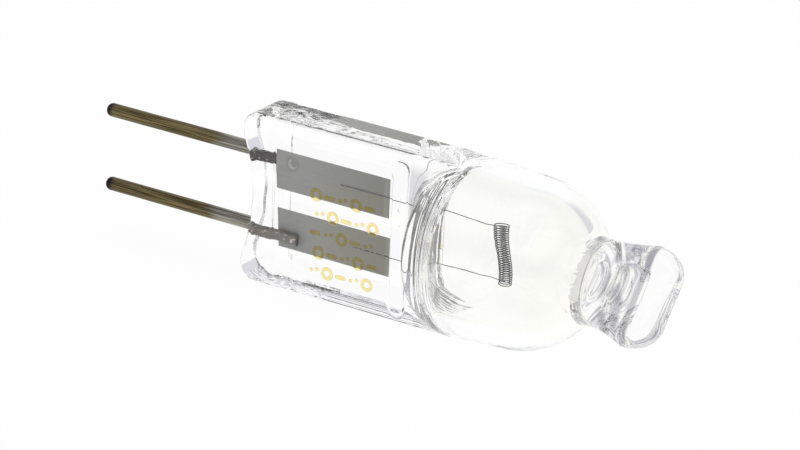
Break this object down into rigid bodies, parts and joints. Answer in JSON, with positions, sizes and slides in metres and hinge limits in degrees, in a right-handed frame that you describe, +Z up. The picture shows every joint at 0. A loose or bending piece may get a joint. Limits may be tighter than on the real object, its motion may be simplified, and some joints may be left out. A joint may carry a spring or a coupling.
{
  "type": "halogen capsule bulb",
  "caption": "Clear quartz capsule lamp with a flat pinch, two straight contact pins, sealing foils, a coiled filament across the round bulb, and a flattened sealed tip.",
  "frame": {"origin": "middle of the lamp's length, under its axis, on the surface that it lies on", "axes": "+X along the lamp from the pins to the sealed tip, +Z up across the pins, -Y out of the pinch's broad face that is seen"},
  "size_m": [0.033, 0.009, 0.0089],
  "materials": {
    "quartz": "clear, fire-polished, with pressing marks on the pinch",
    "pin_metal": "drawn molybdenum, brown with oxide, dark at the tips",
    "foil_metal": "satin rolled foil",
    "filament_wire": "dark drawn tungsten",
    "marking_ink": "thin fired yellow ink"
  },
  "bodies": {
    "root": {"quartz_envelope": "quartz", "upper_contact_pin": "pin_metal", "lower_contact_pin": "pin_metal", "upper_foil": "foil_metal", "lower_foil": "foil_metal", "filament": "filament_wire"}
  },
  "joints": []
}
